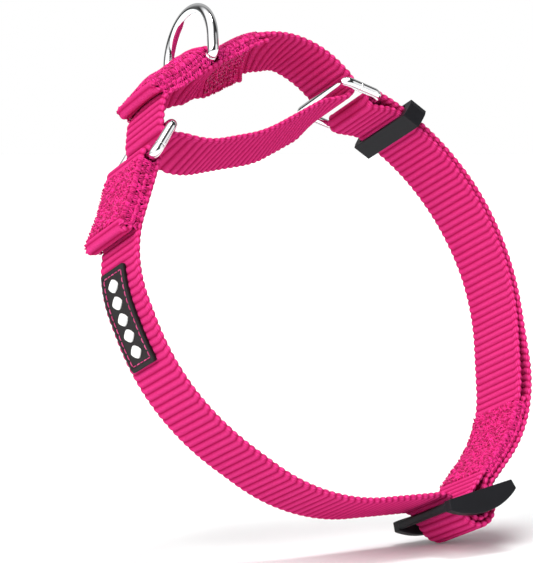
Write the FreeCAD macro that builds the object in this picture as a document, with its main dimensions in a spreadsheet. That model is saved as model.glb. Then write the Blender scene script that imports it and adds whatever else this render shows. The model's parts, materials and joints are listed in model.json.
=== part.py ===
"""Martingale dog collar: a neck strap of ribbed webbing, a control loop with its leash D-ring
between two oblong rings, a tri-glide slider for the length and a keeper for the doubled strap.

Frame: the centre of the neck opening is the origin, +Y runs along the dog's neck, +Z points up
through the control loop. Every length is in millimetres and every angle in degrees.

Webbing runs are drawn in the XZ plane as a belt round circles (centre, mid-surface radius and
turning sense), joined by their common tangents, and padded across the webbing's width.
"""
import FreeCAD, Part
import math
import os

import Sketcher

LEFT = 1     # a stretch that turns left (counter-clockwise with X right and Z up)
RIGHT = -1   # a stretch that turns right

DRIVING = {
    # webbing
    "webbing_width": 25.0,
    "webbing_thick": 2.0,
    "layer_gap": 0.15,
    "fold_gap": 0.15,
    "hem_radius": 1.5,
    "press_radius": 20.0,
    "press_gap": 0.1,
    "end_lift": 0.05,
    # neck strap, left side and bottom: round stretches, top to bottom
    "upper_x": -21.0,
    "upper_z": 15.0,
    "upper_radius": 41.5,
    "side_x": 12.5,
    "side_z": -0.5,
    "side_radius": 78.0,
    "lower_x": 0.0,
    "lower_z": -15.0,
    "lower_radius": 61.0,
    # neck strap, right side: a true arc that the keeper runs on, and the bend above the slider
    "arc_x": -2.7,
    "arc_z": -3.4,
    "arc_radius": 78.0,
    "bend_x": 12.0,
    "bend_z": -35.5,
    "bend_radius": 46.0,
    "outer_turn_radius": 15.0,
    "outer_turn_angle": 27.5,
    "inner_turn_radius": 8.0,
    "inner_turn_angle": 25.0,
    "tail_end_angle": -51.0,
    # flap sewn back on the left side, its far end folded under
    "flap_heading": 212.0,
    "flap_length": 26.5,
    "flap_tail_start": 7.0,
    "flap_hem_rise": 1.15,
    "flap_press_x": 15.0,
    # oblong rings
    "ring_wire": 3.4,
    "ring_pitch": 13.6,
    "ring_width": 33.0,
    "ring_corner": 2.4,
    "left_bar_x": -28.5,
    "left_bar_z": 63.4,
    "left_ring_angle": 21.0,
    "right_bar_x": 62.3,
    "right_bar_z": 38.5,
    "right_ring_angle": 130.0,
    # leash D-ring
    "dee_wire": 3.8,
    "dee_width": 33.8,
    "dee_height": 25.4,
    "dee_corner": 2.6,
    "dee_top_relief": 0.01,
    "dee_bar_x": 13.0,
    "dee_bar_z": 79.9,
    "dee_lean": 38.0,
    # tri-glide slider
    "slider_x": 1.2,
    "slider_z": -85.6,
    "slider_tilt": -18.5,
    "slider_length": 28.8,
    "slider_width": 33.0,
    "slider_window": 26.4,
    "slider_end_height": 3.3,
    "slider_depth": 7.5,
    "slider_end_slope": 0.7,
    "bar_recess": 0.4,
    "bar_corner": 0.9,
    "end_bar_offset": 12.2,
    "end_bar_width": 4.0,
    "end_bar_thick": 2.8,
    "centre_bar_width": 3.6,
    "centre_bar_thick": 2.6,
    "strap_loop_radius": 4.3,
    "strap_loop_rise": 1.5,
    "over_end_bar": 4.3,
    # keeper
    "keeper_angle": 22.2,
    "keeper_length": 6.7,
    "keeper_width": 33.0,
    "keeper_height": 7.5,
    "keeper_window_width": 26.0,
    "keeper_window_height": 4.9,
    "keeper_chamfer_deep": 2.2,
    "keeper_chamfer_wide": 0.9,
    # control loop
    "crown_x": 28.0,
    "crown_z": 47.5,
    "crown_radius": 31.0,
    "shoulder_x": -7.0,
    "shoulder_z": 68.5,
    "shoulder_radius": 9.0,
    "sag_x": 30.0,
    "sag_z": 98.0,
    "sag_radius": 52.0,
    "right_turn_radius": 5.2,
    "right_turn_offset": 0.7,
    "right_turn_angle": 60.0,
    "hem_x": -10.6,
    "hem_rise": 1.45,
    "hem_tail_end": 8.0,
    "foot_x": 21.3,
    "foot_rise": 3.1,
    "foot_radius": 4.0,
    "base_end_angle": 69.0,
    # label patch
    "label_start": 44.0,
    "label_length": 32.0,
    "label_width": 15.0,
    "label_thick": 1.2,
    "label_shift": 2.0,
    "label_clearance": 0.03,
    "mark_width": 6.0,
    "mark_height": 0.4,
    # thread
    "thread_width": 0.6,
    "thread_height": 0.4,
    "stitch_length": 2.2,
    "stitch_pitch": 3.0,
    "stitch_spread": 20.0,
    "stitch_clearance": 0.03,
    "ring_stitch_overrun": 6.0,
    "ring_stitch_stop": 2.5,
    "slider_stitch_from": 7.0,
    "slider_stitch_to": 38.0,
    "hem_stitch_overrun": 5.0,
    "hem_stitch_stop": 4.0,
    "crown_stitch_start": 1.0,
    "crown_stitch_after": 9.0,
    "label_stitch_margin": 1.3,
}

doc = FreeCAD.newDocument("martingale_collar")
sheet = doc.addObject("Spreadsheet::Sheet", "Dims")
for row, (alias, value) in enumerate(DRIVING.items(), start=1):
    sheet.set("A%d" % row, alias)
    sheet.set("B%d" % row, str(value))
    sheet.setAlias("B%d" % row, alias)
doc.recompute()


def dim(alias):
    """A driving dimension, read back from the sheet."""
    return float(sheet.get(alias))


STITCH_ROWS = 6
LABEL_STITCH_ROWS = 2
MARKS = 5
MARK_SHARE = 0.6
SHORTEST = 1e-6
LARGEST_FRAME_SHARE = 0.8
HALF = dim("webbing_thick") / 2
PITCH = dim("webbing_thick") + dim("layer_gap")


# ---------------------------------------------------------------- plane geometry of a webbing run

def polar(centre, radius, angle):
    """The point at a radius and an angle from a centre."""
    turn = math.radians(angle)
    return (centre[0] + radius * math.cos(turn), centre[1] + radius * math.sin(turn))


def placed(origin, angle, along, across):
    """A point given along a heading, and across it to the left."""
    turn = math.radians(angle)
    return (
        origin[0] + along * math.cos(turn) - across * math.sin(turn),
        origin[1] + along * math.sin(turn) + across * math.cos(turn),
    )


def stretch(centre, radius, sense):
    """One round stretch of a run."""
    return (centre[0], centre[1], radius, sense)


def end_point(point):
    """A loose end of a run."""
    return (point[0], point[1], 0.0, LEFT)


def tangent(first, second):
    """The straight stretch that leaves one circle and meets the next, as two points."""
    step = (second[0] - first[0], second[1] - first[1])
    distance = math.hypot(step[0], step[1])
    lift = (second[3] * second[2] - first[3] * first[2]) / distance
    heading = math.atan2(step[1], step[0]) - math.asin(lift)
    left = (-math.sin(heading), math.cos(heading))
    ends = []
    for x, z, radius, sense in (first, second):
        ends.append((x - left[0] * sense * radius, z - left[1] * sense * radius))
    return ends


def belt(stretches):
    """A run as ("line", start, end) and ("arc", centre, radius, start angle, sweep) pieces."""
    straights = [tangent(a, b) for a, b in zip(stretches, stretches[1:])]
    run = []
    for index, (start, end) in enumerate(straights):
        run.append(("line", start, end))
        if index + 1 == len(straights):
            break
        x, z, radius, sense = stretches[index + 1]
        leave = straights[index + 1][0]
        first = math.atan2(end[1] - z, end[0] - x)
        last = math.atan2(leave[1] - z, leave[0] - x)
        sweep = sense * ((sense * (last - first)) % (2 * math.pi))
        run.append(("arc", (x, z), radius, first, sweep))
    return run


def piece_length(piece):
    if piece[0] == "line":
        return math.dist(piece[1], piece[2])
    return abs(piece[4]) * piece[2]


def run_length(run):
    return sum(piece_length(piece) for piece in run)


def cut_run(run, start, end):
    """The part of a run between two distances along it."""
    kept = []
    travelled = 0.0
    for piece in run:
        size = piece_length(piece)
        low = max(start - travelled, 0.0)
        high = min(end - travelled, size)
        travelled += size
        if high - low < SHORTEST:
            continue
        if piece[0] == "line":
            heading = math.degrees(math.atan2(piece[2][1] - piece[1][1], piece[2][0] - piece[1][0]))
            kept.append(("line", polar(piece[1], low, heading), polar(piece[1], high, heading)))
        else:
            sweep = piece[4] / size
            kept.append(("arc", piece[1], piece[2], piece[3] + sweep * low, sweep * (high - low)))
    return kept


def shifted(run, across):
    """The run moved sideways, to its left where across is positive."""
    moved = []
    for piece in run:
        if piece[0] == "line":
            heading = math.degrees(math.atan2(piece[2][1] - piece[1][1], piece[2][0] - piece[1][0]))
            ends = [placed(point, heading, 0.0, across) for point in piece[1:]]
            moved.append(("line", ends[0], ends[1]))
        else:
            sense = math.copysign(1, piece[4])
            moved.append(("arc", piece[1], piece[2] - sense * across, piece[3], piece[4]))
    return moved


def ends_of(run):
    """The first and the last point of a run."""
    points = []
    for piece, at_end in ((run[0], 0), (run[-1], 1)):
        if piece[0] == "line":
            points.append(piece[1 + at_end])
        else:
            angle = math.degrees(piece[3] + at_end * piece[4])
            points.append(polar(piece[1], piece[2], angle))
    return points


# ---------------------------------------------------------------- sketches and bodies

def origin_plane(body, role):
    return next(item for item in body.Origin.OriginFeatures if item.Role == role)


def new_sketch(body, name, role="XZ_Plane", lift=0.0):
    """A sketch on one of the body's own planes, lifted along the plane's normal."""
    sketch = body.newObject("Sketcher::SketchObject", name)
    sketch.AttachmentSupport = (origin_plane(body, role), [""])
    sketch.MapMode = "FlatFace"
    sketch.AttachmentOffset = FreeCAD.Placement(FreeCAD.Vector(0, 0, lift), FreeCAD.Rotation())
    return sketch


def flat(point):
    return FreeCAD.Vector(point[0], point[1], 0)


def draw_line(sketch, start, end):
    if math.dist(start, end) > SHORTEST:
        sketch.addGeometry(Part.LineSegment(flat(start), flat(end)), False)


def draw_arc(sketch, centre, radius, first, sweep):
    circle = Part.Circle(flat(centre), FreeCAD.Vector(0, 0, 1), radius)
    low = min(first, first + sweep)
    sketch.addGeometry(Part.ArcOfCircle(circle, low, low + abs(sweep)), False)


def draw_run(sketch, run):
    for piece in run:
        if piece[0] == "line":
            draw_line(sketch, piece[1], piece[2])
        else:
            draw_arc(sketch, *piece[1:])


def draw_band(sketch, run, right, left):
    """The closed outline between two offsets of a run."""
    sides = [shifted(run, right), shifted(run, left)]
    for side in sides:
        draw_run(sketch, side)
    for start, end in zip(ends_of(sides[0]), ends_of(sides[1])):
        draw_line(sketch, start, end)


def draw_path(sketch, points):
    """Straight lines from point to point."""
    for start, end in zip(points, points[1:]):
        draw_line(sketch, start, end)


def draw_polygon(sketch, points):
    draw_path(sketch, points + points[:1])


def new_body(label, many=False):
    body = doc.addObject("PartDesign::Body", label)
    body.Label = label
    body.AllowCompound = many
    body.Placement = FreeCAD.Placement()
    return body


def pad_across(body, sketch, width):
    """A pad centred on the sketch's plane, its width an expression on the sheet."""
    pad = body.newObject("PartDesign::Pad", sketch.Name + "_pad")
    pad.Profile = sketch
    pad.Midplane = True
    pad.setExpression("Length", width)
    sketch.Visibility = False
    body.Tip = pad
    return pad


def rows_across(body, pad, spread, rows):
    """The pad repeated in rows across the webbing."""
    pattern = body.newObject("PartDesign::LinearPattern", pad.Name + "_rows")
    pattern.Originals = [pad]
    pattern.Direction = (origin_plane(body, "Y_Axis"), [""])
    pattern.Length = spread
    pattern.Occurrences = rows
    body.Tip = pattern
    return pattern


def webbing(label, run):
    """A piece of webbing: its run thickened and padded across its width."""
    body = new_body(label)
    sketch = new_sketch(body, label + "_profile")
    draw_band(sketch, run, -HALF, HALF)
    pad_across(body, sketch, "Dims.webbing_width")
    return body


def stitches(label, run, face, base, spread, rows, middle=0.0):
    """Rows of separate stitches on one side of a run, standing on a base height over its middle."""
    body = new_body(label, many=True)
    sketch = new_sketch(body, label + "_profile", lift=spread / 2 - middle)
    low = face * (base + dim("stitch_clearance"))
    high = face * (base + dim("thread_height"))
    count = int((run_length(run) - dim("stitch_length")) / dim("stitch_pitch")) + 1
    for number in range(count):
        start = number * dim("stitch_pitch")
        draw_band(sketch, cut_run(run, start, start + dim("stitch_length")), low, high)
    pad = pad_across(body, sketch, "Dims.thread_width")
    doc.recompute()
    rows_across(body, pad, spread, rows)
    return body


def to_stretch(run, number):
    """The distance along a run at which one of its round stretches starts."""
    return run_length(run[:2 * number - 1])


# ---------------------------------------------------------------- fixed points of the collar

LEFT_BAR = (dim("left_bar_x"), dim("left_bar_z"))
LEFT_LOOP_BAR = polar(LEFT_BAR, dim("ring_pitch"), dim("left_ring_angle"))
RIGHT_BAR = (dim("right_bar_x"), dim("right_bar_z"))
RIGHT_LOOP_BAR = polar(RIGHT_BAR, dim("ring_pitch"), dim("right_ring_angle"))
DEE_BAR = (dim("dee_bar_x"), dim("dee_bar_z"))
SLIDER = (dim("slider_x"), dim("slider_z"))
ARC = (dim("arc_x"), dim("arc_z"))
BEND = (dim("bend_x"), dim("bend_z"))
WRAP = dim("ring_wire") / 2 + dim("fold_gap") + HALF


def on_slider(along, inward):
    """A point of the slider's own frame: along the strap, and towards the neck."""
    return placed(SLIDER, dim("slider_tilt"), along, inward)


END_BAR_DROP = dim("end_bar_thick") / 2 + dim("bar_recess")
CENTRE_BAR_DROP = dim("slider_depth") - dim("centre_bar_thick") / 2 - dim("bar_recess")
LEFT_END_BAR = on_slider(-dim("end_bar_offset"), -END_BAR_DROP)
RIGHT_END_BAR = on_slider(dim("end_bar_offset"), -END_BAR_DROP)
STRAP_LOOP = on_slider(0.0, dim("strap_loop_rise") - CENTRE_BAR_DROP)


# ---------------------------------------------------------------- neck strap

def on_flap(along, outward):
    """A point of the flap's own frame: away from the left ring, and away from the neck."""
    return placed(LEFT_BAR, dim("flap_heading"), along, -outward)


HEM = dim("hem_radius")
PRESS = dim("press_radius")
PRESSED = PITCH + dim("press_gap") + PRESS
TAIL_LEVEL = PITCH + dim("fold_gap") - WRAP
OUTER_TURN = dim("arc_radius") + PITCH + dim("end_lift") - dim("outer_turn_radius")
INNER_TURN = dim("arc_radius") + dim("end_lift") - dim("inner_turn_radius")
BEND_TAIL = dim("bend_radius") + PITCH
neck_stretches = [
    # tail of the flap's hem, its fold, the sewn top layer, and the fold round the left ring's bar
    end_point(on_flap(dim("flap_tail_start"), TAIL_LEVEL)),
    stretch(on_flap(dim("flap_length"), TAIL_LEVEL + dim("flap_hem_rise")), HEM, RIGHT),
    stretch(on_flap(dim("flap_press_x"), TAIL_LEVEL + PRESSED), PRESS, LEFT),
    stretch(LEFT_BAR, WRAP, RIGHT),
    # down the left side and along the bottom
    stretch((dim("upper_x"), dim("upper_z")), dim("upper_radius"), LEFT),
    stretch((dim("side_x"), dim("side_z")), dim("side_radius"), LEFT),
    stretch((dim("lower_x"), dim("lower_z")), dim("lower_radius"), LEFT),
    # over the slider's first bar, under the sewn loop, over its last bar
    stretch(LEFT_END_BAR, dim("over_end_bar"), RIGHT),
    stretch(STRAP_LOOP, dim("strap_loop_radius") + PITCH, LEFT),
    stretch(RIGHT_END_BAR, dim("over_end_bar"), RIGHT),
    # up the right side as the outer layer, and round the right ring's bar
    stretch(BEND, dim("bend_radius") + 2 * PITCH, LEFT),
    stretch(ARC, dim("arc_radius") + PITCH, LEFT),
    stretch(polar(ARC, OUTER_TURN, dim("outer_turn_angle")), dim("outer_turn_radius"), LEFT),
    stretch(RIGHT_BAR, WRAP, LEFT),
    # back down as the inner layer
    stretch(polar(ARC, INNER_TURN, dim("inner_turn_angle")), dim("inner_turn_radius"), RIGHT),
    stretch(ARC, dim("arc_radius"), RIGHT),
    stretch(BEND, dim("bend_radius"), RIGHT),
    stretch(RIGHT_END_BAR, dim("over_end_bar") + 2 * PITCH, LEFT),
    # sewn loop round the slider's centre bar, and its tail between the two layers
    stretch(STRAP_LOOP, dim("strap_loop_radius"), LEFT),
    stretch(RIGHT_END_BAR, dim("over_end_bar") + PITCH, RIGHT),
    stretch(BEND, BEND_TAIL, LEFT),
    end_point(polar(BEND, BEND_TAIL + dim("end_lift"), dim("tail_end_angle"))),
]
neck_run = belt(neck_stretches)
neck_strap = webbing("neck_strap", neck_run)

FLAP_TOP = 2
LEFT_FOLD = 3
INNER_BEND = 16
flap_start = to_stretch(neck_run, FLAP_TOP)
ring_stitching = stitches(
    "ring_end_stitching",
    cut_run(
        neck_run,
        flap_start - dim("ring_stitch_overrun"),
        to_stretch(neck_run, LEFT_FOLD) - dim("ring_stitch_stop"),
    ),
    LEFT, HALF, dim("stitch_spread"), STITCH_ROWS,
)
bend_start = to_stretch(neck_run, INNER_BEND)
slider_stitching = stitches(
    "slider_end_stitching",
    cut_run(
        neck_run,
        bend_start + dim("slider_stitch_from"),
        bend_start + dim("slider_stitch_to"),
    ),
    RIGHT, HALF, dim("stitch_spread"), STITCH_ROWS,
)


# ---------------------------------------------------------------- control loop

SHOULDER = (dim("shoulder_x"), dim("shoulder_z"))
CROWN = (dim("crown_x"), dim("crown_z"))
SAG = (dim("sag_x"), dim("sag_z"))
OVER_DEE = dim("dee_wire") / 2 + dim("fold_gap") + HALF
COVER = SHOULDER[1] + dim("shoulder_radius") + PITCH
BASE_CROWN = dim("crown_radius") - PITCH
RIGHT_TURN = polar(RIGHT_LOOP_BAR, dim("right_turn_offset"), dim("right_turn_angle"))
control_stretches = [
    # tail of the hem, its fold, then the cover layer that passes over the D-ring's bar
    end_point((dim("hem_tail_end"), COVER + dim("end_lift"))),
    stretch((dim("hem_x"), COVER + dim("hem_rise")), HEM, RIGHT),
    stretch((0.0, COVER + PRESSED), PRESS, LEFT),
    stretch(DEE_BAR, OVER_DEE, RIGHT),
    stretch((dim("foot_x"), COVER + dim("foot_rise")), dim("foot_radius"), LEFT),
    # over the crown, round the right ring's bar, back underneath, round the left ring's bar
    stretch(CROWN, dim("crown_radius"), RIGHT),
    stretch(RIGHT_TURN, dim("right_turn_radius"), RIGHT),
    stretch(SAG, dim("sag_radius"), RIGHT),
    stretch(LEFT_LOOP_BAR, WRAP, RIGHT),
    # base layer, under the D-ring's bar
    stretch(SHOULDER, dim("shoulder_radius"), RIGHT),
    stretch(CROWN, BASE_CROWN, RIGHT),
    end_point(polar(CROWN, BASE_CROWN + dim("end_lift"), dim("base_end_angle"))),
]
control_run = belt(control_stretches)
control_strap = webbing("control_strap", control_run)

HEM_TOP = 2
NEAR_RISE = 3
FAR_FOOT = 4
CROWN_COVER = 5
hem_stitching = stitches(
    "control_stitching_hem_side",
    cut_run(
        control_run,
        to_stretch(control_run, HEM_TOP) - dim("hem_stitch_overrun"),
        to_stretch(control_run, NEAR_RISE) - dim("hem_stitch_stop"),
    ),
    LEFT, HALF, dim("stitch_spread"), STITCH_ROWS,
)
crown_stitching = stitches(
    "control_stitching_crown_side",
    cut_run(
        control_run,
        to_stretch(control_run, FAR_FOOT) + dim("crown_stitch_start"),
        to_stretch(control_run, CROWN_COVER) + dim("crown_stitch_after"),
    ),
    LEFT, HALF, dim("stitch_spread"), STITCH_ROWS,
)


# ---------------------------------------------------------------- wire rings

def wire_ring(label, outline, wire):
    """A ring of round wire bent to a closed outline in the YZ plane of its own body.

    The wire's round section is drawn at the origin, which the outline passes through.
    """
    body = new_body(label)
    spine = new_sketch(body, label + "_centre_line", "YZ_Plane")
    draw_run(spine, outline)
    section = new_sketch(body, label + "_section")
    section.addGeometry(Part.Circle(flat((0, 0)), FreeCAD.Vector(0, 0, 1), dim(wire) / 2), False)
    section.addConstraint(Sketcher.Constraint("Diameter", 0, dim(wire)))
    section.setExpression("Constraints[0]", "Dims." + wire)
    doc.recompute()
    pipe = body.newObject("PartDesign::AdditivePipe", label + "_wire")
    pipe.Profile = section
    pipe.Spine = (spine, [""])
    body.Tip = pipe
    return body


def rounded_loop(corners):
    """A closed run through corners, each given as (y, z, corner radius), counter-clockwise."""
    circles = []
    count = len(corners)
    for index, (y, z, radius) in enumerate(corners):
        before = corners[index - 1]
        after = corners[(index + 1) % count]
        towards = math.atan2(before[1] - z, before[0] - y)
        away = math.atan2(after[1] - z, after[0] - y)
        opening = (towards - away) % (2 * math.pi)
        bisector = away + opening / 2
        reach = radius / math.sin(opening / 2)
        circles.append((y + reach * math.cos(bisector), z + reach * math.sin(bisector), radius, LEFT))
    return belt(circles + circles[:2])[:-1]


def oblong(width, height, corner):
    half = (width - dim("ring_wire")) / 2
    corners = [(-half, 0), (half, 0), (half, height), (-half, height)]
    return rounded_loop([(y, z, corner) for y, z in corners])


for label, bar, angle in (
    ("left_ring", LEFT_BAR, dim("left_ring_angle")),
    ("right_ring", RIGHT_BAR, dim("right_ring_angle")),
):
    outline = oblong(dim("ring_width"), dim("ring_pitch"), dim("ring_corner"))
    ring = wire_ring(label, outline, "ring_wire")
    turn = FreeCAD.Rotation(FreeCAD.Vector(0, 1, 0), 90 - angle)
    ring.Placement = FreeCAD.Placement(FreeCAD.Vector(bar[0], 0, bar[1]), turn)

dee_half = (dim("dee_width") - dim("dee_wire")) / 2
dee_top = dim("dee_height") - dim("dee_wire")
dee_bow = dee_half - dim("dee_top_relief")
dee_outline = rounded_loop([
    (-dee_half, 0, dim("dee_corner")),
    (dee_half, 0, dim("dee_corner")),
    (dee_half, dee_top, dee_bow),
    (-dee_half, dee_top, dee_bow),
])
dee = wire_ring("d_ring", dee_outline, "dee_wire")
dee.Placement = FreeCAD.Placement(
    FreeCAD.Vector(DEE_BAR[0], 0, DEE_BAR[1]),
    FreeCAD.Rotation(FreeCAD.Vector(0, 1, 0), dim("dee_lean")),
)


# ---------------------------------------------------------------- tri-glide slider

def rounded_bar(sketch, middle, width, thick, corner):
    """A bar's rounded section, drawn as a closed outline."""
    x, z = middle
    right = width / 2
    top = thick / 2
    run = rounded_loop([
        (x - right, z - top, corner),
        (x + right, z - top, corner),
        (x + right, z + top, corner),
        (x - right, z + top, corner),
    ])
    draw_run(sketch, run)


slider = new_body("slider")
plate = new_sketch(slider, "slider_plate")
half_length = dim("slider_length") / 2
end_height = dim("slider_end_height")
depth = dim("slider_depth")
half_top = half_length - dim("slider_end_slope")
tips = [(-half_length, -end_height), (half_length, -end_height)]
draw_path(plate, [tips[0], (-half_top, 0), (half_top, 0), tips[1]])
belly = Part.Arc(flat(tips[0]), flat((0, -depth)), flat(tips[1]))
plate.addGeometry(belly, False)
pad_across(slider, plate, "Dims.slider_width")
doc.recompute()
solid_volume = slider.Shape.Volume

# the cut clears everything between the end plates but the three bars
window = new_sketch(slider, "slider_window_cut")
reach = 2 * half_length
draw_polygon(window, [(-reach, -reach), (reach, -reach), (reach, reach), (-reach, reach)])
end_bar = (dim("end_bar_width"), dim("end_bar_thick"))
centre_bar = (dim("centre_bar_width"), dim("centre_bar_thick"))
for offset, drop, size in (
    (-dim("end_bar_offset"), END_BAR_DROP, end_bar),
    (dim("end_bar_offset"), END_BAR_DROP, end_bar),
    (0.0, CENTRE_BAR_DROP, centre_bar),
):
    rounded_bar(window, (offset, -drop), size[0], size[1], dim("bar_corner"))
cut = slider.newObject("PartDesign::Pocket", "slider_window_pocket")
cut.Profile = window
cut.Midplane = True
cut.setExpression("Length", "Dims.slider_window")
window.Visibility = False
slider.Tip = cut
doc.recompute()
if slider.Shape.Volume > LARGEST_FRAME_SHARE * solid_volume:
    raise RuntimeError("the slider's window is not cut")
slider.Placement = FreeCAD.Placement(
    FreeCAD.Vector(SLIDER[0], 0, SLIDER[1]),
    FreeCAD.Rotation(FreeCAD.Vector(0, 1, 0), -dim("slider_tilt")),
)


# ---------------------------------------------------------------- keeper

keeper = new_body("keeper")
section = new_sketch(keeper, "keeper_section", "XY_Plane")
x = dim("keeper_height") / 2
y = dim("keeper_width") / 2
inner_x = x - dim("keeper_chamfer_deep")
inner_y = y - dim("keeper_chamfer_wide")
draw_polygon(section, [
    (inner_x, -y), (x, -inner_y), (x, inner_y), (inner_x, y),
    (-inner_x, y), (-x, inner_y), (-x, -inner_y), (-inner_x, -y),
])
x = dim("keeper_window_height") / 2
y = dim("keeper_window_width") / 2
draw_polygon(section, [(x, -y), (x, y), (-x, y), (-x, -y)])
pad_across(keeper, section, "Dims.keeper_length")
keeper_middle = polar(ARC, dim("arc_radius") + PITCH / 2, dim("keeper_angle"))
keeper.Placement = FreeCAD.Placement(
    FreeCAD.Vector(keeper_middle[0], 0, keeper_middle[1]),
    FreeCAD.Rotation(FreeCAD.Vector(0, 1, 0), -dim("keeper_angle")),
)


# ---------------------------------------------------------------- label patch

label_from = to_stretch(neck_run, LEFT_FOLD) + dim("label_start")
label_run = cut_run(neck_run, label_from, label_from + dim("label_length"))


def on_label(label, pieces, low, high, width, many=False):
    """Curved plates on the strap's outer face, between two heights over the webbing's middle."""
    body = new_body(label, many)
    sketch = new_sketch(body, label + "_profile", lift=-dim("label_shift"))
    for start, end in pieces:
        draw_band(sketch, cut_run(label_run, start, end), -high, -low)
    pad_across(body, sketch, width)
    return body


LABEL_TOP = HALF + dim("label_thick")
patch = on_label(
    "label_patch", [(0.0, dim("label_length"))],
    HALF + dim("label_clearance"), LABEL_TOP, "Dims.label_width",
)
mark_pitch = dim("label_length") / (MARKS + 1)
mark_half = mark_pitch * MARK_SHARE / 2
marks = []
for number in range(1, MARKS + 1):
    marks.append((mark_pitch * number - mark_half, mark_pitch * number + mark_half))
motif = on_label(
    "label_motif", marks,
    LABEL_TOP + dim("label_clearance"), LABEL_TOP + dim("mark_height"), "Dims.mark_width", many=True,
)
margin = dim("label_stitch_margin")
label_stitching = stitches(
    "label_stitching",
    cut_run(label_run, margin, dim("label_length") - margin),
    RIGHT, LABEL_TOP, dim("label_width") - 2 * margin, LABEL_STITCH_ROWS, dim("label_shift"),
)


# ---------------------------------------------------------------- write the sub-parts

SUBPARTS = [
    neck_strap, ring_stitching, slider_stitching,
    control_strap, hem_stitching, crown_stitching,
    doc.left_ring, doc.right_ring, dee, slider, keeper,
    patch, motif, label_stitching,
]
doc.recompute()
for item in doc.Objects:
    if "Invalid" in item.State or "Error" in item.State:
        raise RuntimeError("%s is %s" % (item.Name, item.State))
for item in SUBPARTS:
    if item.Shape.isNull() or not item.Shape.isValid():
        raise RuntimeError("%s has no valid shape" % item.Label)
os.makedirs("parts", exist_ok=True)
for item in SUBPARTS:
    item.Shape.exportStep("parts/%s.step" % item.Label)
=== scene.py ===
"""Martingale collar: ribbed webbing, sewn thread, chrome wire rings, moulded slider and keeper,
and a rubber label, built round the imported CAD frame.

The webbing's runs are belts round circles in the XZ plane, swept across Y. Lengths are in
millimetres until a mesh is made, where MM turns them into metres.
"""
import json
import math
import random

import bmesh
import bpy
import numpy as np
from mathutils import Matrix, Vector

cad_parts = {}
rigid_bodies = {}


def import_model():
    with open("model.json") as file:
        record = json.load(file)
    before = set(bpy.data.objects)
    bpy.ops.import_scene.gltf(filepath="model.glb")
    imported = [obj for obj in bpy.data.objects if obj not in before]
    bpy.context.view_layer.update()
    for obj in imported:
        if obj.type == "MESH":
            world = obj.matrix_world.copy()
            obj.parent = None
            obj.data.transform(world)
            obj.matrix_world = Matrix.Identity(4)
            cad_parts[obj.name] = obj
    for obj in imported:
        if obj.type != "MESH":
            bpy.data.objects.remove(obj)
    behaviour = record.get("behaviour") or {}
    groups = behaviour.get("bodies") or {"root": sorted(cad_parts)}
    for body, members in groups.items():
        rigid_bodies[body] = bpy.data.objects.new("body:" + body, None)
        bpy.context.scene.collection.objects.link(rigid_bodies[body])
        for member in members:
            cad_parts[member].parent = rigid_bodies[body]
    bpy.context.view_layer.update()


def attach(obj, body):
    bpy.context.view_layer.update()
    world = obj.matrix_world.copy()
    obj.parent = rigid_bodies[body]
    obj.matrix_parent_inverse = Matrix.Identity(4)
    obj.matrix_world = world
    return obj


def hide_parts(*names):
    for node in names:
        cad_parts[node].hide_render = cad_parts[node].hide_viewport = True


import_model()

MM = 0.001
LEFT = 1
RIGHT = -1
WIDTH = 25.0
HALF = 1.0  # half the webbing's thickness
PITCH = 2.15  # from one stacked layer's middle to the next
RIB = 2.4


# ---------------------------------------------------------------- webbing runs in the XZ plane

def polar(centre, radius, angle):
    turn = math.radians(angle)
    return (centre[0] + radius * math.cos(turn), centre[1] + radius * math.sin(turn))


def placed(origin, angle, along, across):
    turn = math.radians(angle)
    return (
        origin[0] + along * math.cos(turn) - across * math.sin(turn),
        origin[1] + along * math.sin(turn) + across * math.cos(turn),
    )


def stretch(centre, radius, sense):
    return (centre[0], centre[1], radius, sense)


def end_point(point):
    return (point[0], point[1], 0.0, LEFT)


def tangent(first, second):
    """The straight stretch that leaves one circle and meets the next, as two points."""
    step = (second[0] - first[0], second[1] - first[1])
    distance = math.hypot(step[0], step[1])
    lift = (second[3] * second[2] - first[3] * first[2]) / distance
    heading = math.atan2(step[1], step[0]) - math.asin(lift)
    left = (-math.sin(heading), math.cos(heading))
    ends = []
    for x, z, radius, sense in (first, second):
        ends.append((x - left[0] * sense * radius, z - left[1] * sense * radius))
    return ends


def belt(stretches):
    """A run as ("line", start, end) and ("arc", centre, radius, start angle, sweep) pieces."""
    straights = [tangent(a, b) for a, b in zip(stretches, stretches[1:])]
    run = []
    for index, (start, end) in enumerate(straights):
        run.append(("line", start, end))
        if index + 1 == len(straights):
            break
        x, z, radius, sense = stretches[index + 1]
        leave = straights[index + 1][0]
        first = math.atan2(end[1] - z, end[0] - x)
        last = math.atan2(leave[1] - z, leave[0] - x)
        sweep = sense * ((sense * (last - first)) % (2 * math.pi))
        run.append(("arc", (x, z), radius, first, sweep))
    return run


def piece_length(piece):
    if piece[0] == "line":
        return math.dist(piece[1], piece[2])
    return abs(piece[4]) * piece[2]


def run_length(run):
    return sum(piece_length(piece) for piece in run)


def to_stretch(run, number):
    """The distance along a run at which one of its round stretches starts."""
    return run_length(run[:2 * number - 1])


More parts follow.
